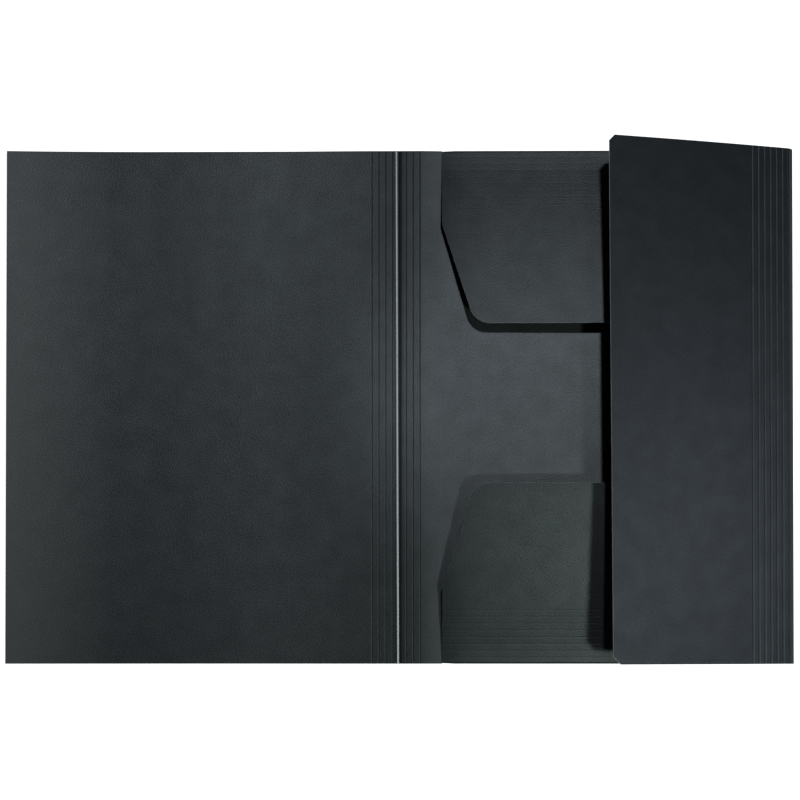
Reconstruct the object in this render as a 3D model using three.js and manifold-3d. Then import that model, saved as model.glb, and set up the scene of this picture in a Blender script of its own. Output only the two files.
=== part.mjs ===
// Three flap folder: one sheet of charcoal card, cut, scored and folded, lying open on its back.
// Millimetres, +Z up, +X from the open cover to the side flap, +Y to the top edge.
// The origin is the middle of the spread folder, on the surface it lies on.

import * as THREE from 'three';
import { mergeVertices } from 'three/addons/utils/BufferGeometryUtils.js';
import Module from 'manifold-3d';

const wasm = await Module();
wasm.setup();

// The sheet and its two big panels
const folderHeight = 318;
const coverWidth = 243.5;
const panelWidth = 243.5;
const cardThickness = 0.6;

// Score lines: pressed from the inner face, so each is a groove inside and a bead outside
const scorePitch = 4.25;
const scoreDepth = 0.16;
const scoreHalfWidth = 0.45;
const bendRadius = 0.9;

// Spine: scores on both sides of the worn fold, which stands a little off the table
const scoresOnCoverSide = 4;
const scoresOnPanelSide = 3;
const spineFoldDepth = 0.45;
const spineFoldSteepSide = 1.1;
const spineFoldGentleSide = 3;
const spineLift = 1.3;
const coverRise = 60;
const panelRise = 12;

// Side flap: full height, on the panel's long edge, half open over the end flaps. Its free edge is cut
// a little out of square, and its reach is the longer one.
const sideFlapReach = 130.8;
const sideFlapSkew = 2;
const sideFlapScores = 9;
const sideFlapBends = [80, 50];
const sideFlapSlope = 22.1;
const sideFlapTopCorner = 4;
const sideFlapBottomCorner = 6;

// End flaps: one on the top edge and one on the bottom edge, alike, folded flat and springing up a little
const endFlapInset = 26.5;
const endFlapReach = 111.4;
const endFlapScores = 9;
const endFlapBends = [5, 6, 7];
const endFlapSlope = 7.6;
const endFlapStraightEdge = 47;
const endFlapSlantInset = 20;
const endFlapCorner = 12;

// How finely round stretches are drawn, and how far two stretches of sheet run into each other
const bendStep = 24;
const cornerStep = 10;
const lap = 6;
const cutMargin = 5;

const halfThickness = cardThickness / 2;
const { degToRad } = THREE.MathUtils;

// Round stretch that replaces a corner, as points from the line before it to the line after it
function roundedCorner(before, corner, after, radius, stepDegrees) {
  const back = before.clone().sub(corner).normalize();
  const ahead = after.clone().sub(corner).normalize();
  const halfAngle = Math.acos(back.dot(ahead)) / 2;
  const middle = back.clone().add(ahead).normalize();
  const centre = corner.clone().addScaledVector(middle, radius / Math.sin(halfAngle));
  const start = corner.clone().addScaledVector(back, radius / Math.tan(halfAngle)).sub(centre);
  const turn = Math.PI - 2 * halfAngle;
  const side = Math.sign(ahead.cross(back));
  const steps = Math.ceil(turn / degToRad(stepDegrees));
  const points = [];
  for (let i = 0; i <= steps; i++) {
    const angle = side * turn * (i / steps);
    points.push(start.clone().rotateAround(new THREE.Vector2(), angle).add(centre));
  }
  return points;
}

// Point reached from another by going back over the panel while climbing at a slope
function climb(from, slope, length) {
  const angle = degToRad(slope);
  return new THREE.Vector2(from.x - Math.cos(angle) * length, from.y + Math.sin(angle) * length);
}

// Dip of the sheet's middle line at a score, pushed to the outer face of a sheet that runs along heading
function scoreDip(at, heading, depth, before, after) {
  const along = new THREE.Vector2(Math.cos(heading), Math.sin(heading));
  const outward = new THREE.Vector2(along.y, -along.x);
  return [-1, -0.5, 0, 0.5, 1].map((share) => {
    const run = share < 0 ? share * before : share * after;
    const dip = (depth * (1 + Math.cos(Math.PI * share))) / 2;
    return at.clone().addScaledVector(along, run).addScaledVector(outward, dip);
  });
}

// Round fold at a panel's edge, from lying flat to going back over the panel at a slope
function foldArc(edge, slope) {
  const centre = new THREE.Vector2(edge - bendRadius - halfThickness, bendRadius);
  const turn = 180 - slope;
  const steps = Math.ceil(turn / bendStep);
  const points = [];
  for (let i = 0; i <= steps; i++) {
    const angle = degToRad((turn * i) / steps - 90);
    points.push(new THREE.Vector2(Math.cos(angle), Math.sin(angle)).multiplyScalar(bendRadius).add(centre));
  }
  return points;
}

// The end of a flap's fold and its later bends. Scores are evenly spaced from the middle of the fold.
function flapBends(edge, bends) {
  const halfFold = (bendRadius * degToRad(180 - bends[0])) / 2;
  const corners = [foldArc(edge, bends[0]).at(-1)];
  bends.forEach((slope, i) => {
    corners.push(climb(corners.at(-1), slope, i === 0 ? scorePitch - halfFold : scorePitch));
  });
  return corners;
}

// Middle line of a flap, from inside the panel, round its bends and over its scores to the free edge
function flapLine(edge, bends, restSlope, scores, reach) {
  const corners = flapBends(edge, bends);
  const lastBend = corners.at(-1);
  const freeEdge = climb(lastBend, restSlope, reach - bends.length * scorePitch);
  const foot = new THREE.Vector2(edge - lap, 0);
  const all = [...corners, freeEdge];
  const line = [foot, ...foldArc(edge, bends[0])];
  for (let i = 1; i < all.length - 1; i++) {
    line.push(...roundedCorner(all[i - 1], all[i], all[i + 1], bendRadius, bendStep));
  }
  const heading = Math.PI - degToRad(restSlope);
  for (let score = bends.length + 1; score < scores; score++) {
    const at = climb(lastBend, restSlope, (score - bends.length) * scorePitch);
    line.push(...scoreDip(at, heading, scoreDepth, scoreHalfWidth, scoreHalfWidth));
  }
  line.push(freeEdge);
  return line;
}

// Middle line of cover, spine and panel, from the cover's free edge to where the side flap takes over
function spreadLine() {
  const coverScore = -scoresOnCoverSide * scorePitch;
  const panelScore = scoresOnPanelSide * scorePitch;
  const line = [new THREE.Vector2(-coverWidth, 0), new THREE.Vector2(coverScore - coverRise, 0)];
  for (let score = -scoresOnCoverSide; score <= scoresOnPanelSide; score++) {
    const at = new THREE.Vector2(score * scorePitch, spineLift);
    line.push(...(score === 0
      ? scoreDip(at, 0, spineFoldDepth, spineFoldSteepSide, spineFoldGentleSide)
      : scoreDip(at, 0, scoreDepth, scoreHalfWidth, scoreHalfWidth)));
  }
  line.push(new THREE.Vector2(panelScore + panelRise, 0));
  line.push(new THREE.Vector2(panelWidth - lap / 2, 0));
  return line;
}

// Closed outline of a sheet of the card's thickness along a middle line, standing on height zero
function sheetOutline(line) {
  const rightSide = [];
  const leftSide = [];
  line.forEach((point, i) => {
    const before = line[Math.max(i - 1, 0)];
    const after = line[Math.min(i + 1, line.length - 1)];
    const arriving = point.clone().sub(i === 0 ? point : before).normalize();
    const leaving = after.clone().sub(i === line.length - 1 ? after : point).normalize();
    const along = arriving.clone().add(leaving).normalize();
    const straight = i === 0 || i === line.length - 1;
    const spread = straight ? halfThickness : halfThickness / along.dot(leaving);
    const normal = new THREE.Vector2(along.y, -along.x);
    rightSide.push(point.clone().addScaledVector(normal, spread));
    leftSide.push(point.clone().addScaledVector(normal, -spread));
  });
  return [...rightSide, ...leftSide.reverse()].map((point) => {
    return new THREE.Vector2(point.x, point.y + halfThickness);
  });
}

// Prism of an outline whose own axes and depth run along three given directions
function prism(outline, depth, across, up, deep) {
  const geometry = new THREE.ExtrudeGeometry(new THREE.Shape(outline), { depth, bevelEnabled: false });
  return geometry.applyMatrix4(new THREE.Matrix4().makeBasis(across, up, deep));
}

const alongX = new THREE.Vector3(1, 0, 0);
const alongY = new THREE.Vector3(0, 1, 0);
const alongZ = new THREE.Vector3(0, 0, 1);
const backAlongY = new THREE.Vector3(0, -1, 0);

// Sheet with its section across the folder, as wide as the folder is high
function sheetAcross(line) {
  const geometry = prism(sheetOutline(line), folderHeight, alongX, alongZ, backAlongY);
  return toSolid(geometry.translate(0, folderHeight / 2, 0));
}

// Sheet with its section along the folder's height, between two places across it
function sheetUpright(line, from, to) {
  const geometry = prism(sheetOutline(line), to - from, alongY, alongZ, alongX);
  return toSolid(geometry.translate(from, 0, 0));
}

// Upright block with an outline seen from above, taller than anything it cuts
function cutter(outline) {
  const tall = sideFlapReach + endFlapReach;
  const geometry = prism(outline, tall, alongX, alongY, alongZ);
  return toSolid(geometry.translate(0, 0, -cutMargin));
}

function toSolid(geometry) {
  geometry.deleteAttribute('normal');
  geometry.deleteAttribute('uv');
  const merged = mergeVertices(geometry);
  const vertProperties = new Float32Array(merged.attributes.position.array);
  const triVerts = new Uint32Array(merged.index.array);
  return new wasm.Manifold(new wasm.Mesh({ numProp: 3, vertProperties, triVerts }));
}

function toGeometry(solid) {
  const mesh = solid.getMesh();
  const geometry = new THREE.BufferGeometry();
  geometry.setAttribute('position', new THREE.BufferAttribute(mesh.vertProperties, 3));
  geometry.setIndex(new THREE.BufferAttribute(mesh.triVerts, 1));
  const flat = geometry.toNonIndexed();
  flat.computeVertexNormals();
  return flat;
}

// Side flap over its fold, with the corners of its free edge rounded
function makeSideFlap() {
  const line = flapLine(panelWidth, sideFlapBends, sideFlapSlope, sideFlapScores, sideFlapReach);
  const freeEdge = line.at(-1).x;
  const top = folderHeight / 2;
  const beyond = panelWidth + cutMargin;
  const topCorner = new THREE.Vector2(freeEdge, top);
  const bottomCorner = new THREE.Vector2(freeEdge + sideFlapSkew, -top);
  const topRight = new THREE.Vector2(beyond, top);
  const bottomRight = new THREE.Vector2(beyond, -top);
  const outline = [
    topRight,
    ...roundedCorner(topRight, topCorner, bottomCorner, sideFlapTopCorner, cornerStep),
    ...roundedCorner(topCorner, bottomCorner, bottomRight, sideFlapBottomCorner, cornerStep),
    bottomRight,
  ];
  return sheetAcross(line).intersect(cutter(outline));
}

// Top flap over its fold: straight sides, then slanted ones, and a free edge with rounded corners
function makeTopFlap() {
  const edge = folderHeight / 2;
  const left = endFlapInset;
  const right = panelWidth - endFlapInset;
  const line = flapLine(edge, endFlapBends, endFlapSlope, endFlapScores, endFlapReach);
  const free = line.at(-1).x;
  const slantStart = edge - endFlapStraightEdge;
  const outside = edge + cutMargin;
  const leftSlant = new THREE.Vector2(left, slantStart);
  const leftCorner = new THREE.Vector2(left + endFlapSlantInset, free);
  const rightCorner = new THREE.Vector2(right - endFlapSlantInset, free);
  const rightSlant = new THREE.Vector2(right, slantStart);
  const outline = [
    new THREE.Vector2(left, outside),
    leftSlant,
    ...roundedCorner(leftSlant, leftCorner, rightCorner, endFlapCorner, cornerStep),
    ...roundedCorner(leftCorner, rightCorner, rightSlant, endFlapCorner, cornerStep),
    rightSlant,
    new THREE.Vector2(right, outside),
  ];
  return sheetUpright(line, left - cutMargin, right + cutMargin).intersect(cutter(outline));
}

// Strip of the panel's edge that gives way to the fold of the top flap
function makeTopNotch() {
  const edge = folderHeight / 2;
  const left = endFlapInset;
  const right = panelWidth - endFlapInset;
  const inner = edge - lap / 2;
  return cutter([
    new THREE.Vector2(left, inner),
    new THREE.Vector2(right, inner),
    new THREE.Vector2(right, edge + cutMargin),
    new THREE.Vector2(left, edge + cutMargin),
  ]);
}

// The same at the bottom edge: a half turn about the panel's middle
function atBottomEdge(solid) {
  return solid.rotate([0, 0, 180]).translate([panelWidth, 0, 0]);
}

function makeFolder() {
  const topFlap = makeTopFlap();
  const notch = makeTopNotch();
  return sheetAcross(spreadLine())
    .subtract(notch)
    .subtract(atBottomEdge(notch))
    .add(topFlap)
    .add(atBottomEdge(topFlap))
    .add(makeSideFlap());
}

const card = new THREE.MeshStandardMaterial({ color: '#34383a', roughness: 0.62, metalness: 0 });
const sheet = new THREE.Mesh(toGeometry(makeFolder()), card);
sheet.name = 'folded_card_sheet';
sheet.geometry.computeBoundingBox();
sheet.position.x = -(sheet.geometry.boundingBox.min.x + sheet.geometry.boundingBox.max.x) / 2;

const folder = new THREE.Group();
folder.add(sheet);

export default folder;
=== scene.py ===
"""Three flap folder of charcoal card, lying open: a blank is cut, scored, folded and given its thickness."""

import math

import bpy
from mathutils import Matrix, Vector, noise


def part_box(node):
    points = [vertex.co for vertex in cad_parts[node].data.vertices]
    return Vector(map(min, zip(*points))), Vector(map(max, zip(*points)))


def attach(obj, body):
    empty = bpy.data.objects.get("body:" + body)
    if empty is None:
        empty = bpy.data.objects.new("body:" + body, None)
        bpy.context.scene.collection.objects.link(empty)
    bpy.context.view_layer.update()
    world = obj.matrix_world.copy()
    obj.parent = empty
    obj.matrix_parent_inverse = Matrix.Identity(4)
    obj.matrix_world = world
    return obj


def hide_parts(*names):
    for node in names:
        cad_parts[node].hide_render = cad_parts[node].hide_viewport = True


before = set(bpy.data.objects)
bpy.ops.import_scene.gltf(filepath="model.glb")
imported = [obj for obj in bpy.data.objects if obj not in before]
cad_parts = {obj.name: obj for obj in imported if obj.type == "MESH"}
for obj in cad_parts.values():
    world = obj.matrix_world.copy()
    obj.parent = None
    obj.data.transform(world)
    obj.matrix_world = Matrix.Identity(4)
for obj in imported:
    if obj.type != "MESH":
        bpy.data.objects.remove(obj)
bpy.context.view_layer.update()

NODE = "folded_card_sheet"
NODE_LOW, NODE_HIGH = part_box(NODE)
MM = 0.001

# The cut sheet, in millimetres. The folder's outer sizes come from the frame.
HEIGHT = (NODE_HIGH[1] - NODE_LOW[1]) / MM
SPREAD = (NODE_HIGH[0] - NODE_LOW[0]) / MM
COVER_WIDTH = SPREAD / 2
PANEL_WIDTH = SPREAD / 2
TOP_EDGE = HEIGHT / 2
THICKNESS = 0.6
CUT_EDGE_CHAMFER = 0.27
CUT_EDGE_ANGLE = 70

# Score lines: grooves on the inner face at the spine, and on the outer face of the flaps
SCORE_PITCH = 4.25
SPINE_SCORE_DEPTH = 0.14
SIDE_SCORE_DEPTH = 0.26
TOP_SCORE_DEPTH = 0.015
BOTTOM_SCORE_DEPTH = 0.05
SCORE_HALF_WIDTH = 0.45
SIDE_SCORE_HALF_WIDTH = 0.8
FLAT_MARGIN = 0.2
SCORE_LINES = 7

# Bends: a turn of more than the sharp one is drawn as a round fold
BEND_RADIUS = 0.9
SHARP_TURN = 60
BEND_LINES = 13

# Spine: its scores, the low arch that lifts it off the table, and the section of its worn fold
SPINE_SCORES = [-4, -3, -2, -1, 1, 2, 3]
SPINE_HEIGHT = 1.3
SPINE_RISE = 20
COVER_FALL = 60
FOLD_SECTION = [
    (-2.0, 0.0),
    (-1.5, 0.1),
    (-0.8, 0.14),
    (-0.35, 0.0),
    (-0.1, -0.3),
    (0.15, -0.42),
    (0.45, -0.3),
    (0.8, -0.14),
    (2.0, -0.05),
    (3.2, 0.0),
]

# Side flap: slopes of the card after its first scores, the last one up to its free edge, which is cut
# out of square by the skew
SIDE_REACH = 129.7
SIDE_SKEW = 2.2
SIDE_SCORES = 9
SIDE_SLOPES = [80, 50, 22.1]
SIDE_TOP_CORNER = 3.6
SIDE_BOTTOM_CORNER = 4.8

# End flaps, top and bottom alike, but the top one is cut shorter and the bottom one longer
END_INSET = 26.5
END_REACH = 111.4
END_UNEVEN = 1.0
END_SCORES = 9
END_SLOPES = [6, 7, 8, 8.6]
END_STRAIGHT = 47.8
END_SLANT_INSET = 20
END_CORNER = 12
RELIEF_SLIT = 0.04

# How the card has relaxed: the cover's free edge curls up, and the flaps bow a little
SPINE_BOW = 2
SPINE_BOW_WIDTH = 80
COVER_CURL = 4.5
COVER_CURL_WIDTH = 100
SIDE_BOW = 1.0
END_BOW = 0.6
RIPPLE = 0.12
RIPPLE_LENGTH = 90

# How finely the sheet is divided, and how close two places on it count as the same
GRID = 8.0
CORNER_STEPS = 10
SMOOTH_ANGLE = 40
SAME_PLACE = 0.004
SLACK = 0.01


def bend_length(turn):
    """The card that a rounded bend takes."""
    return BEND_RADIUS * math.radians(turn)


def flap_plan(edge, slopes, scores, reach):
    """A flap on the flat blank: the middle and turn of each score, and where its free edge is cut."""
    turns = [180 - slopes[0]] + [a - b for a, b in zip(slopes, slopes[1:])]
    turns += [0] * (scores - len(turns))
    fold = edge - BEND_RADIUS - THICKNESS / 2 + bend_length(turns[0]) / 2
    marks = [(fold + i * SCORE_PITCH, turn) for i, turn in enumerate(turns)]
    return marks, fold + reach


def score_lines(middle, turn, pressed, half_width=SCORE_HALF_WIDTH):
    """The lines that one score is cut into: place on the blank, share of the turn, and depth pressed."""
    sharp = turn > SHARP_TURN
    half = bend_length(turn) / 2 if sharp else half_width
    count = BEND_LINES if sharp else SCORE_LINES
    depth = 0 if sharp else pressed
    lines = [(middle - half - FLAT_MARGIN, 0, 0)]
    for i in range(count):
        share = 2 * i / (count - 1) - 1
        part = (0.5 if i in (0, count - 1) else 1) / (count - 1)
        lines.append((middle + share * half, turn * part, depth * (1 + math.cos(math.pi * share)) / 2))
    lines.append((middle + half + FLAT_MARGIN, 0, 0))
    return lines


SIDE_MARKS, SIDE_END = flap_plan(PANEL_WIDTH, SIDE_SLOPES, SIDE_SCORES, SIDE_REACH)
END_MARKS, END_END = flap_plan(TOP_EDGE, END_SLOPES, END_SCORES, END_REACH)
SIDE_LINES = [line for mark in SIDE_MARKS
              for line in score_lines(*mark, SIDE_SCORE_DEPTH, SIDE_SCORE_HALF_WIDTH)]
END_LINES = [line for mark in END_MARKS for line in score_lines(*mark, 1)]
SPINE_LINES = [line for s in SPINE_SCORES for line in score_lines(s * SCORE_PITCH, 0, SPINE_SCORE_DEPTH)]
SIDE_ROOT = SIDE_LINES[0][0]
END_ROOT = END_LINES[0][0]
FLAP_LEFT = END_INSET
FLAP_RIGHT = PANEL_WIDTH - END_INSET
FLAP_MIDDLE = (FLAP_LEFT + FLAP_RIGHT) / 2
SIDE_REST_START = SIDE_MARKS[len(SIDE_SLOPES) - 1][0]
END_REST_START = END_MARKS[len(END_SLOPES) - 1][0]
END_KNEE = END_MARKS[0][0] + END_STRAIGHT


def near(a, b):
    return abs(a - b) < SAME_PLACE


def in_end_flap(place):
    return FLAP_LEFT - SLACK < place.x < FLAP_RIGHT + SLACK and abs(place.y) > END_ROOT - SLACK


def deselect_all():
    if bpy.context.object and bpy.context.object.mode != "OBJECT":
        bpy.ops.object.mode_set(mode="OBJECT")
    bpy.ops.object.select_all(action="DESELECT")


def select_points(sheet, chosen):
    """Enters edit mode with just the chosen vertices selected, given as one true or false for each."""
    bpy.ops.object.mode_set(mode="OBJECT")
    mesh = sheet.data
    mesh.polygons.foreach_set("select", [False] * len(mesh.polygons))
    mesh.edges.foreach_set("select", [False] * len(mesh.edges))
    mesh.vertices.foreach_set("select", chosen)
    bpy.ops.object.mode_set(mode="EDIT")
    bpy.ops.mesh.select_mode(type="VERT")


def select_where(sheet, wanted):
    """Selects the vertices whose place, in millimetres on the flat blank, is wanted."""
    bpy.ops.object.mode_set(mode="OBJECT")
    select_points(sheet, [bool(wanted(v.co / MM)) for v in sheet.data.vertices])


def draw_out(sheet, wanted, direction):
    """Draws a new strip of card out of the edges whose vertices are wanted."""
    select_where(sheet, wanted)
    bpy.ops.mesh.extrude_region_move(TRANSFORM_OT_translate={"value": Vector(direction) * MM})


def round_corner(sheet, corner, radius, turn, steps=CORNER_STEPS):
    """Rounds one corner of the flat blank, where its outline turns by an angle in degrees."""
    select_where(sheet, lambda p: (p.xy - Vector(corner)).length < SLACK)
    offset = radius * math.tan(math.radians(turn) / 2) * MM
    bpy.ops.mesh.bevel(affect="VERTICES", offset=offset, segments=steps)


def cut_lines(sheet, normal, places, wanted):
    """Cuts a line across the wanted faces of the blank at each place along a direction."""
    for place in places:
        select_where(sheet, wanted)
        direction = Vector(normal)
        bpy.ops.mesh.bisect(plane_co=direction * place * MM, plane_no=direction, threshold=1e-7)


def grid_places(low, high):
    """Evenly spread places between two ends, a grid step or a little less apart."""
    steps = math.ceil((high - low) / GRID)
    return [low + (high - low) * i / steps for i in range(1, steps)]


def cut_blank():
    """The flat blank: cover, spine and panel in one piece, with the three flaps cut to their outlines."""
    deselect_all()
    bpy.ops.mesh.primitive_plane_add(size=1)
    sheet = bpy.context.object
    sheet.name = "folded_card"
    bpy.ops.object.mode_set(mode="EDIT")
    bpy.ops.mesh.select_all(action="SELECT")
    bpy.ops.transform.resize(value=((SIDE_ROOT + COVER_WIDTH) * MM, 2 * END_ROOT * MM, 1))
    bpy.ops.transform.translate(value=((SIDE_ROOT - COVER_WIDTH) / 2 * MM, 0, 0))
    left_slit = FLAP_LEFT - RELIEF_SLIT
    right_slit = FLAP_RIGHT + RELIEF_SLIT
    cut_lines(sheet, (1, 0, 0), [left_slit, FLAP_LEFT, FLAP_RIGHT, right_slit], lambda p: True)
    for side in (1, -1):
        root = side * END_ROOT
        margin = (0, side * (TOP_EDGE - END_ROOT), 0)
        draw_out(sheet, lambda p: near(p.y, root) and p.x < left_slit + SLACK, margin)
        draw_out(sheet, lambda p: near(p.y, root) and p.x > right_slit - SLACK, margin)
    draw_out(sheet, lambda p: near(p.x, SIDE_ROOT), (SIDE_END - SIDE_ROOT, 0, 0))
    for side, length in ((1, SIDE_TOP_CORNER), (-1, SIDE_BOTTOM_CORNER)):
        cut_side_corner(sheet, side, length)
    for side in (1, -1):
        cut_end_flap(sheet, side)
    return sheet


def cut_side_corner(sheet, side, length):
    """Cuts one corner off the side flap straight. Its free edge is a little out of square."""
    skew = side * SIDE_SKEW / 2
    select_where(sheet, lambda p: near(p.y, side * END_ROOT) and p.x > SIDE_ROOT - SLACK)
    bpy.ops.mesh.dissolve_edges()
    select_where(sheet, lambda p: near(p.x, SIDE_END) and near(p.y, side * TOP_EDGE))
    bpy.ops.transform.translate(value=(skew * MM, 0, 0))
    round_corner(sheet, (SIDE_END + skew, side * TOP_EDGE), length, 90, steps=1)


def cut_end_flap(sheet, side):
    """One end flap: a straight stretch, then one that narrows to a free edge with rounded corners."""
    root = side * END_ROOT
    knee = side * END_KNEE
    end = END_END - side * END_UNEVEN
    slant = end - END_KNEE
    draw_out(sheet, lambda p: near(p.y, root) and in_end_flap(p), (0, knee - root, 0))
    draw_out(sheet, lambda p: near(p.y, knee), (0, side * slant, 0))
    narrowing = 1 - 2 * END_SLANT_INSET / (FLAP_RIGHT - FLAP_LEFT)
    bpy.ops.transform.resize(value=(narrowing, 1, 1), center_override=(FLAP_MIDDLE * MM, 0, 0))
    turn = 90 - math.degrees(math.atan2(END_SLANT_INSET, slant))
    for x in (FLAP_LEFT + END_SLANT_INSET, FLAP_RIGHT - END_SLANT_INSET):
        round_corner(sheet, (x, side * end), END_CORNER, turn)


def divide_blank(sheet):
    """Cuts the lines of every score, the worn fold and an even grid between them."""
    spine_left = SPINE_LINES[0][0]
    spine_right = SPINE_LINES[-1][0]
    across = [x for x, _, _ in SPINE_LINES + SIDE_LINES[1:]] + [x for x, _ in FOLD_SECTION]
    across += grid_places(-COVER_WIDTH, spine_left) + grid_places(spine_right, FLAP_LEFT)
    across += grid_places(FLAP_LEFT, FLAP_RIGHT) + grid_places(FLAP_RIGHT, SIDE_ROOT)
    across += grid_places(SIDE_LINES[-1][0], SIDE_END)
    cut_lines(sheet, (1, 0, 0), across, lambda p: True)
    cut_lines(sheet, (0, 1, 0), grid_places(-END_ROOT, END_ROOT), lambda p: True)
    upward = [y for y, _, _ in END_LINES[1:]] + grid_places(END_LINES[-1][0], END_END)
    cut_lines(sheet, (0, 1, 0), upward, in_end_flap)
    cut_lines(sheet, (0, 1, 0), [-y for y in upward], in_end_flap)
    bpy.ops.object.mode_set(mode="OBJECT")


def lay_out_uvs(sheet):
    """Keeps each point's place on the flat blank, in metres, as the map that the card's pattern follows."""
    mesh = sheet.data
    layer = mesh.uv_layers.new(name="blank")
    for loop in mesh.loops:
        place = mesh.vertices[loop.vertex_index].co
        layer.data[loop.index].uv = (place.x, place.y)


def press_scores(sheet):
    """Presses the score lines into their faces, and the worn fold to its own section."""
    for x, _, depth in SPINE_LINES:
        press_line(sheet, lambda p: near(p.x, x), -depth)
    for x, _, depth in SIDE_LINES:
        press_line(sheet, lambda p: near(p.x, x), depth)
    for x, height in FOLD_SECTION:
        press_line(sheet, lambda p: near(p.x, x), height)
    for side, deepest in ((1, TOP_SCORE_DEPTH), (-1, BOTTOM_SCORE_DEPTH)):
        for y, _, share in END_LINES:
            press_line(sheet, lambda p: near(side * p.y, y) and in_end_flap(p), share * deepest)


def press_line(sheet, wanted, height):
    """Moves the wanted line of the flat blank up or down."""
    if height:
        select_where(sheet, wanted)
        bpy.ops.transform.translate(value=(0, 0, height * MM))


def ease(share):
    """Smooth step from 0 to 1."""
    share = min(max(share, 0), 1)
    return share * share * (3 - 2 * share)


def relaxed_height(place):
    """How far the card stands off its flat blank: the spine's arch, the cover's curl and the flaps' bow."""
    cover_side = ease((place.x - SPINE_LINES[0][0] + COVER_FALL) / COVER_FALL)
    panel_side = ease((SPINE_LINES[-1][0] + SPINE_RISE - place.x) / SPINE_RISE)
    height = SPINE_HEIGHT * min(cover_side, panel_side)
    across = math.exp(-((place.x / SPINE_BOW_WIDTH) ** 2))
    height += SPINE_BOW * across * max(0, 1 - (place.y / TOP_EDGE) ** 2)
    height += COVER_CURL * max(0, (COVER_CURL_WIDTH - COVER_WIDTH - place.x) / COVER_CURL_WIDTH) ** 2
    sway = noise.noise(Vector((place.x, place.y, 0)) / RIPPLE_LENGTH)
    if place.x > SIDE_REST_START:
        share = (place.x - SIDE_REST_START) / (SIDE_END - SIDE_REST_START)
        height -= SIDE_BOW * math.sin(math.pi * share) + RIPPLE * sway * share
    elif in_end_flap(place) and abs(place.y) > END_REST_START:
        share = (abs(place.y) - END_REST_START) / (END_END - END_REST_START)
        height -= END_BOW * math.sin(math.pi * share) + RIPPLE * sway * share
    return height


def relax_card(sheet):
    """Lets the card relax, and gives each vertex's place on the flat blank, which tells where it belongs."""
    bpy.ops.object.mode_set(mode="OBJECT")
    blank = [v.co.copy() / MM for v in sheet.data.vertices]
    for vertex, place in zip(sheet.data.vertices, blank):
        vertex.co.z += relaxed_height(place) * MM
    return blank


def fold_up(sheet, lines, beyond, axis, hinge, turn_sign):
    """Folds a flap about each line of its scores, the outermost first."""
    for place, turn, _ in reversed(lines):
        if turn:
            select_points(sheet, beyond(place))
            bpy.ops.transform.rotate(
                value=turn_sign * math.radians(turn),
                orient_axis=axis,
                orient_type="GLOBAL",
                center_override=Vector(hinge) * place * MM,
            )


def fold_card(sheet, blank):
    """Folds the three flaps over the panel."""
    fold_up(sheet, SIDE_LINES, lambda x: [p.x > x + SAME_PLACE for p in blank], "Y", (1, 0, 0), 1)
    for side in (1, -1):
        fold_up(
            sheet,
            END_LINES,
            lambda y: [in_end_flap(p) and side * p.y > y + SAME_PLACE for p in blank],
            "X",
            (0, side, 0),
            -side,
        )
    bpy.ops.object.mode_set(mode="OBJECT")


def apply_modifier(piece, kind, **settings):
    modifier = piece.modifiers.new(kind.lower(), kind)
    for name, value in settings.items():
        setattr(modifier, name, value)
    bpy.ops.object.modifier_apply(modifier=modifier.name)


def give_thickness(sheet):
    """Turns the folded surface into card: even thickness, and a chamfer along its cut edges."""
    apply_modifier(
        sheet,
        "SOLIDIFY",
        thickness=THICKNESS * MM,
        offset=0,
        use_even_offset=True,
        material_offset_rim=1,
    )
    apply_modifier(
        sheet,
        "BEVEL",
        width=CUT_EDGE_CHAMFER * MM,
        segments=1,
        limit_method="ANGLE",
        angle_limit=math.radians(CUT_EDGE_ANGLE),
        material=1,
    )
    bpy.ops.object.mode_set(mode="EDIT")
    bpy.ops.mesh.select_all(action="SELECT")
    bpy.ops.transform.translate(value=(0, 0, THICKNESS / 2 * MM))
    bpy.ops.object.mode_set(mode="OBJECT")
    bpy.ops.object.shade_smooth_by_angle(angle=math.radians(SMOOTH_ANGLE))


def srgb(text):
    """Linear colour, with alpha, of an sRGB hex value."""
    channels = [int(text[i:i + 2], 16) / 255 for i in (1, 3, 5)]
    linear = [c / 12.92 if c <= 0.04045 else ((c + 0.055) / 1.055) ** 2.4 for c in channels]
    return (*linear, 1.0)


def new_material(name):
    material = bpy.data.materials.new(name)
    material.use_nodes = True
    material.node_tree.nodes.clear()
    return material


def add_node(tree, kind, settings=None, **inputs):
    """Adds a node with its settings and its inputs, which are values or other nodes' outputs."""
    node = tree.nodes.new(kind)
    for name, value in (settings or {}).items():
        setattr(node, name, value)
    for name, value in inputs.items():
        key = int(name[1:]) if name[0] == "i" and name[1:].isdigit() else name.replace("_", " ")
        socket = node.inputs[key]
        if isinstance(value, bpy.types.NodeSocket):
            tree.links.new(value, socket)
        else:
            socket.default_value = value
    return node


# Card dyed through its whole thickness, with a fine felt-marked tooth, paler fibres where the fold is worn
# that are also painted as its highlight, painted shade beside it, a painted sheen along the cover's free
# edge, and cut edges painted near-white as highlights
CARD_DARK = srgb("#181a1b")
CARD_PALE = srgb("#242627")
# Pale line of the worn fold: paler worn fibres, and a painted highlight where its ridge catches the light
CARD_WEAR_AND_HIGHLIGHT = srgb("#e2e2de")
# Painted shade: the dark line in the fold's groove, beside the pale line
CARD_PAINTED_SHADE = srgb("#101213")
# Cut edges: paler broken fibres, painted near-white as a highlight for the light they catch
CUT_DARK = srgb("#e0e0de")
CUT_PALE = srgb("#f4f4f2")
CARD_ROUGHNESS = 0.445
SHEEN_LOW = 0.55
SHEEN_HIGH = 0.97
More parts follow.
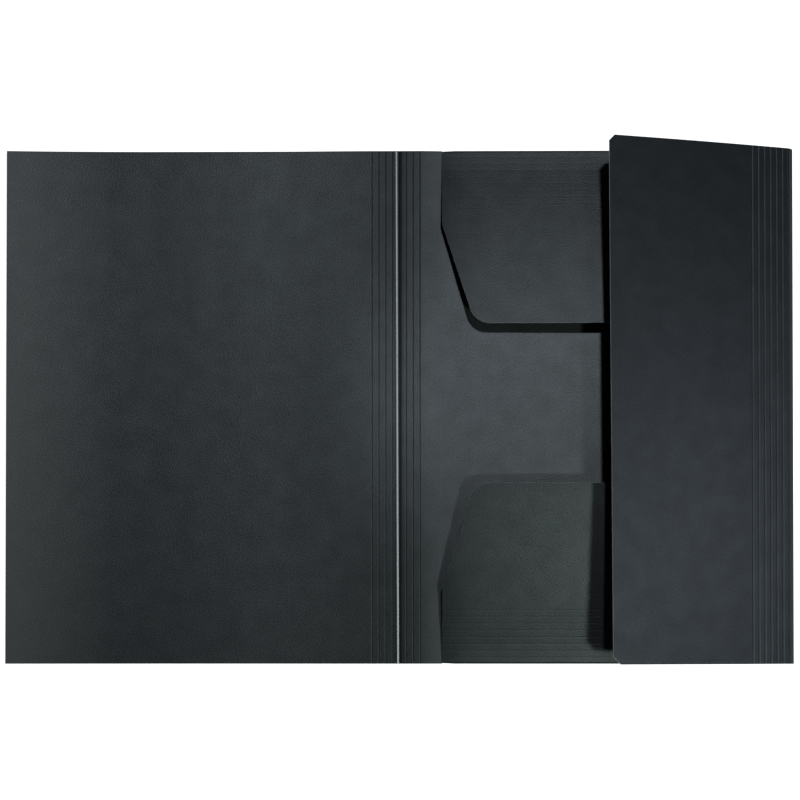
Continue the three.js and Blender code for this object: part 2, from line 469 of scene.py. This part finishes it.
# Painted sheen: the cover grows paler towards its free edge
CARD_PAINTED_SHEEN = srgb("#575350")
PAINTED_SHEEN_WIDTH = 65
OUTER_DULLNESS = 0.22
DULLED = 0.55
DULLED_WIDTH = 60
DULLED_FROM = 0
DULLED_TO = 110
TOOTH_SIZE = 0.9
TOOTH_HEIGHT = 0.12
CLOUD_SIZE = 14
CLOUD_SHARE = 0.3
FIBRES_LOW = 0.3
FIBRES_HIGH = 0.7
WEAR_LOW = 0.25
WEAR_HIGH = 0.55
WEAR_LEAST = 0.55
WORN_HIGHLIGHT_FROM = -1.75
WORN_HIGHLIGHT_TO = -0.85
WORN_DRIFT = 0.003
PAINTED_SHADE_TO = 0.3
LINE_BLUR = 0.25


def card_material():
    """Solid-dyed card, felt marked: a matte dark grey with a fine cloudy tooth, a painted sheen along the
    cover's free edge, and a pale worn fold line, partly a painted highlight, with painted shade beside it.
    """
    material = new_material("felt_marked_card")
    tree = material.node_tree
    blank = add_node(tree, "ShaderNodeUVMap", {"uv_map": "blank"}).outputs["UV"]
    place = add_node(tree, "ShaderNodeSeparateXYZ", Vector=blank)
    tooth = add_node(tree, "ShaderNodeTexNoise", Vector=blank, Scale=1 / (TOOTH_SIZE * MM), Detail=3.0,
                     Roughness=0.6).outputs["Fac"]
    fibres = fibre_pattern(tree, blank, tooth)
    bump = add_node(tree, "ShaderNodeBump", Height=tooth, Distance=TOOTH_HEIGHT * MM, Strength=1.0)
    surface = add_node(tree, "ShaderNodeBsdfPrincipled", Base_Color=card_colour(tree, place, tooth, fibres),
                       Roughness=CARD_ROUGHNESS, Specular_IOR_Level=card_sheen(tree, place, fibres),
                       Normal=bump.outputs[0])
    add_node(tree, "ShaderNodeOutputMaterial", Surface=surface.outputs[0])
    return material


def fibre_pattern(tree, blank, tooth):
    """Paler and darker fibres: mostly the fine tooth, and some wider clouds."""
    cloud = add_node(tree, "ShaderNodeTexNoise", Vector=blank, Scale=1 / (CLOUD_SIZE * MM), Detail=2.0)
    blend = add_node(tree, "ShaderNodeMix", {"data_type": "FLOAT"}, i0=CLOUD_SHARE, i2=tooth,
                     i3=cloud.outputs["Fac"])
    fibres = add_node(tree, "ShaderNodeMapRange", Value=blend.outputs[0], From_Min=FIBRES_LOW,
                      From_Max=FIBRES_HIGH)
    return fibres.outputs[0]


def card_colour(tree, place, tooth, fibres):
    """Dyed card, with a painted sheen along the cover's free edge, a pale worn fold line that is partly a
    painted highlight, and painted shade beside it.
    """
    base = add_node(tree, "ShaderNodeMix", {"data_type": "RGBA"}, i0=fibres, i6=CARD_DARK, i7=CARD_PALE)
    # Painted sheen: paler towards the cover's free edge
    painted_sheen = add_node(tree, "ShaderNodeMapRange", Value=place.outputs["X"], From_Min=-COVER_WIDTH * MM,
                       From_Max=(PAINTED_SHEEN_WIDTH - COVER_WIDTH) * MM, To_Min=1.0, To_Max=0.0)
    with_sheen = add_node(tree, "ShaderNodeMix", {"data_type": "RGBA"}, i0=painted_sheen.outputs[0],
                       i6=base.outputs[2], i7=CARD_PAINTED_SHEEN)
    across = add_node(tree, "ShaderNodeMath", {"operation": "MULTIPLY_ADD"}, i0=place.outputs["Y"],
                      i1=WORN_DRIFT, i2=place.outputs["X"])
    # Painted shade: a dark line in the fold's groove, beside the pale line
    painted_shade = band(tree, across.outputs[0], WORN_HIGHLIGHT_TO, PAINTED_SHADE_TO)
    dark = add_node(tree, "ShaderNodeMix", {"data_type": "RGBA"}, i0=painted_shade, i6=with_sheen.outputs[2],
                    i7=CARD_PAINTED_SHADE)
    # Pale line of the worn fold: worn fibres and a painted highlight of its ridge, patchy with the tooth
    worn_highlight = band(tree, across.outputs[0], WORN_HIGHLIGHT_FROM, WORN_HIGHLIGHT_TO)
    patches = add_node(tree, "ShaderNodeMapRange", Value=tooth, From_Min=WEAR_LOW, From_Max=WEAR_HIGH,
                    To_Min=WEAR_LEAST)
    patchy = add_node(tree, "ShaderNodeMath", {"operation": "MULTIPLY"}, i0=worn_highlight, i1=patches.outputs[0])
    colour = add_node(tree, "ShaderNodeMix", {"data_type": "RGBA"}, i0=patchy.outputs[0],
                      i6=dark.outputs[2], i7=CARD_WEAR_AND_HIGHLIGHT)
    return colour.outputs[2]


def card_sheen(tree, place, fibres):
    """The card's sheen, which the fibres vary and handling takes off."""
    glossy = add_node(tree, "ShaderNodeMapRange", Value=fibres, To_Min=SHEEN_LOW, To_Max=SHEEN_HIGH)
    inner = add_node(tree, "ShaderNodeMath", {"operation": "MULTIPLY"}, i0=glossy.outputs[0],
                     i1=spine_dulling(tree, place))
    sheen = add_node(tree, "ShaderNodeMath", {"operation": "MULTIPLY"}, i0=inner.outputs[0],
                     i1=outer_dulling(tree, place))
    return sheen.outputs[0]


def spine_dulling(tree, place):
    """How much sheen is left: the card is handled dull around the spine, towards its two ends."""
    near_spine = falling(tree, place.outputs["X"], 0, DULLED_WIDTH)
    near_middle = falling(tree, place.outputs["Y"], DULLED_FROM, DULLED_TO)
    at_ends = add_node(tree, "ShaderNodeMath", {"operation": "SUBTRACT"}, i0=1.0, i1=near_middle)
    dulled = add_node(tree, "ShaderNodeMath", {"operation": "MULTIPLY"}, i0=near_spine,
                      i1=at_ends.outputs[0])
    left = add_node(tree, "ShaderNodeMath", {"operation": "MULTIPLY_ADD"}, i0=dulled.outputs[0],
                    i1=-DULLED, i2=1.0)
    return left.outputs[0]


def outer_dulling(tree, place):
    """How much sheen is left: the flaps show the card's outer face, a little duller than its inner one."""
    within_height = falling(tree, place.outputs["Y"], TOP_EDGE - 2, TOP_EDGE + 1)
    within_width = falling(tree, place.outputs["X"], PANEL_WIDTH - 2, PANEL_WIDTH + 1)
    inner = add_node(tree, "ShaderNodeMath", {"operation": "MULTIPLY"}, i0=within_height, i1=within_width)
    left = add_node(tree, "ShaderNodeMath", {"operation": "MULTIPLY_ADD"}, i0=inner.outputs[0],
                    i1=OUTER_DULLNESS, i2=1 - OUTER_DULLNESS)
    return left.outputs[0]


def falling(tree, place, near_by, far_off):
    """Mask that falls from one to zero between two distances, in millimetres, from the blank's middle."""
    distance = add_node(tree, "ShaderNodeMath", {"operation": "ABSOLUTE"}, i0=place)
    mask = add_node(tree, "ShaderNodeMapRange", {"interpolation_type": "SMOOTHSTEP"},
                    Value=distance.outputs[0], From_Min=near_by * MM, From_Max=far_off * MM, To_Min=1.0,
                    To_Max=0.0)
    return mask.outputs[0]


def band(tree, place, low, high):
    """Mask that is one between two places across the blank, in millimetres, with blurred sides."""
    rise = add_node(tree, "ShaderNodeMapRange", {"interpolation_type": "SMOOTHSTEP"}, Value=place,
                    From_Min=(low - LINE_BLUR / 2) * MM, From_Max=(low + LINE_BLUR / 2) * MM)
    fall = add_node(tree, "ShaderNodeMapRange", {"interpolation_type": "SMOOTHSTEP"}, Value=place,
                    From_Min=(high - LINE_BLUR / 2) * MM, From_Max=(high + LINE_BLUR / 2) * MM,
                    To_Min=1.0, To_Max=0.0)
    both = add_node(tree, "ShaderNodeMath", {"operation": "MULTIPLY"}, i0=rise.outputs[0],
                    i1=fall.outputs[0])
    return both.outputs[0]


def cut_edge_material():
    """Raw die-cut edge of the same card: its broken fibres are paler and quite matte, and it is painted
    near-white as a highlight, for the light the cut edges catch.
    """
    material = new_material("die_cut_edge_painted_highlight")
    tree = material.node_tree
    place = add_node(tree, "ShaderNodeTexCoord").outputs["Object"]
    fibres = add_node(tree, "ShaderNodeTexNoise", Vector=place, Scale=1 / (TOOTH_SIZE * MM), Detail=4.0)
    colour = add_node(tree, "ShaderNodeMix", {"data_type": "RGBA"}, i0=fibres.outputs["Fac"],
                      i6=CUT_DARK, i7=CUT_PALE)
    surface = add_node(tree, "ShaderNodeBsdfPrincipled", Base_Color=colour.outputs[2], Roughness=0.85,
                       Specular_IOR_Level=0.2)
    add_node(tree, "ShaderNodeOutputMaterial", Surface=surface.outputs[0])
    return material


def make_folder():
    sheet = cut_blank()
    divide_blank(sheet)
    lay_out_uvs(sheet)
    press_scores(sheet)
    blank = relax_card(sheet)
    fold_card(sheet, blank)
    sheet.data.materials.append(card_material())
    sheet.data.materials.append(cut_edge_material())
    give_thickness(sheet)
    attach(sheet, "root")
    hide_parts(NODE)
    return sheet


# Camera, as the photograph was taken: almost straight down, above the folder's lower edge
CAMERA_PLACE = (20, -142.7, 1600)
CAMERA_LENS = 116.35
CAMERA_SHIFT = 0.228
SENSOR_WIDTH = 36
VIEW_MIDDLE = (0.4, 4.4)


def place_camera():
    deselect_all()
    bpy.ops.object.camera_add(location=Vector(CAMERA_PLACE) * MM)
    camera = bpy.context.object
    camera.data.lens = CAMERA_LENS
    camera.data.sensor_width = SENSOR_WIDTH
    camera.data.shift_y = CAMERA_SHIFT
    sideways = math.atan((CAMERA_PLACE[0] - VIEW_MIDDLE[0]) / CAMERA_PLACE[2])
    upward = math.atan((VIEW_MIDDLE[1] - CAMERA_PLACE[1]) / CAMERA_PLACE[2])
    shifted = math.atan(CAMERA_SHIFT * SENSOR_WIDTH / CAMERA_LENS)
    camera.rotation_euler = (upward - shifted, sideways, 0)
    camera.data.clip_start = 0.05
    camera.data.clip_end = 50
    bpy.context.scene.camera = camera


def add_light(name, place, aim, size, power, colour):
    """A square soft light at a place in millimetres, facing a point in millimetres."""
    bpy.ops.object.light_add(type="AREA", location=Vector(place) * MM)
    light = bpy.context.object
    light.name = name
    light.data.size = size * MM
    light.data.energy = power
    light.data.color = srgb(colour)[:3]
    facing = (Vector(aim) - Vector(place)).to_track_quat("-Z", "Y")
    light.rotation_euler = facing.to_euler()
    light.visible_camera = False


FLOOR_SIZE = 12000
FLOOR_GAP = 0.1
ROOM_LIGHT = 0.01


def make_studio():
    """A white sweep under the folder, a small bright lamp above it and two soft ones to the right."""
    deselect_all()
    bpy.ops.mesh.primitive_plane_add(size=FLOOR_SIZE * MM, location=(0, 0, -FLOOR_GAP * MM))
    floor = bpy.context.object
    floor.name = "floor"
    paper = new_material("white_paper_sweep")
    tree = paper.node_tree
    seen = add_node(tree, "ShaderNodeLightPath").outputs["Is Camera Ray"]
    surface = add_node(tree, "ShaderNodeBsdfPrincipled", Base_Color=srgb("#f4f4f4"), Roughness=0.9,
                       Emission_Color=srgb("#ffffff"), Emission_Strength=seen)
    add_node(tree, "ShaderNodeOutputMaterial", Surface=surface.outputs[0])
    floor.data.materials.append(paper)
    add_light("lamp_above", (186, 345, 1200), (60, 0, 0), 45, 4.0, "#e7f5ff")
    add_light("soft_box_right", (252, -235, 500), (110, -80, 0), 35, 0.78, "#e9fffa")
    add_light("soft_box_side", (630, -70, 434), (175, -70, 30), 170, 0.49, "#dde9ff")
    world = bpy.data.worlds.new("studio")
    bpy.context.scene.world = world
    world.use_nodes = True
    background = world.node_tree.nodes["Background"]
    background.inputs["Color"].default_value = srgb("#ffffff")
    background.inputs["Strength"].default_value = ROOM_LIGHT
    bpy.context.scene.view_settings.view_transform = "Standard"


place_camera()
make_folder()
make_studio()
